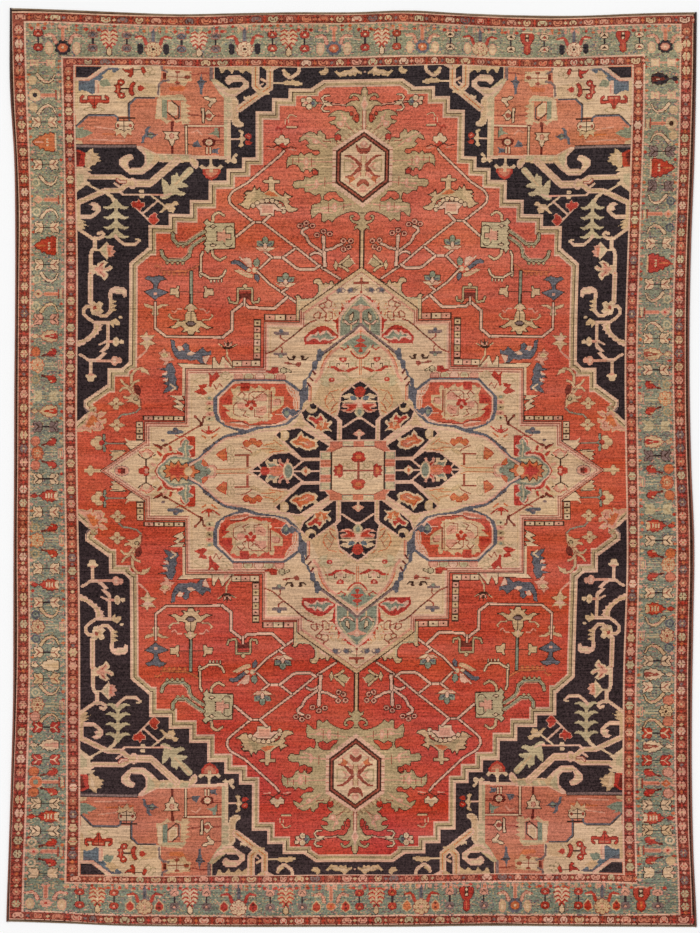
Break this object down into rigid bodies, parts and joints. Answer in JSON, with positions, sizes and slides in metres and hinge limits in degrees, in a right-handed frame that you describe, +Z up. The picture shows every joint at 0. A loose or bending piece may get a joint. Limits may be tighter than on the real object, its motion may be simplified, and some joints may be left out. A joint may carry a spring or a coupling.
{
  "type": "persian rug",
  "caption": "Room-size hand-knotted wool rug lying flat, with overcast selvedges, flat-woven end webs and a gently uneven outline; covers a floor",
  "frame": {"origin": "on the floor, at the middle of the rug's bounding rectangle", "axes": "+Z up out of the floor and out of the pile; +Y along the rug's length, to the end at the top of the picture; +X to the right of the picture"},
  "size_m": [2.8326, 3.77, 0.008],
  "materials": {
    "wool_pile": "low clipped knotted wool pile, matt, madder red, navy, teal, ivory and camel yarns",
    "wool_overcast": "dark brown wool yarn overcast closely round the outer warps",
    "cotton_web": "undyed cotton plain weave, matt, slightly soiled"
  },
  "bodies": {
    "root": {"knotted_pile": "wool_pile", "selvedge_left": "wool_overcast", "selvedge_right": "wool_overcast", "end_web_bottom": "cotton_web", "end_web_top": "cotton_web"}
  },
  "joints": []
}
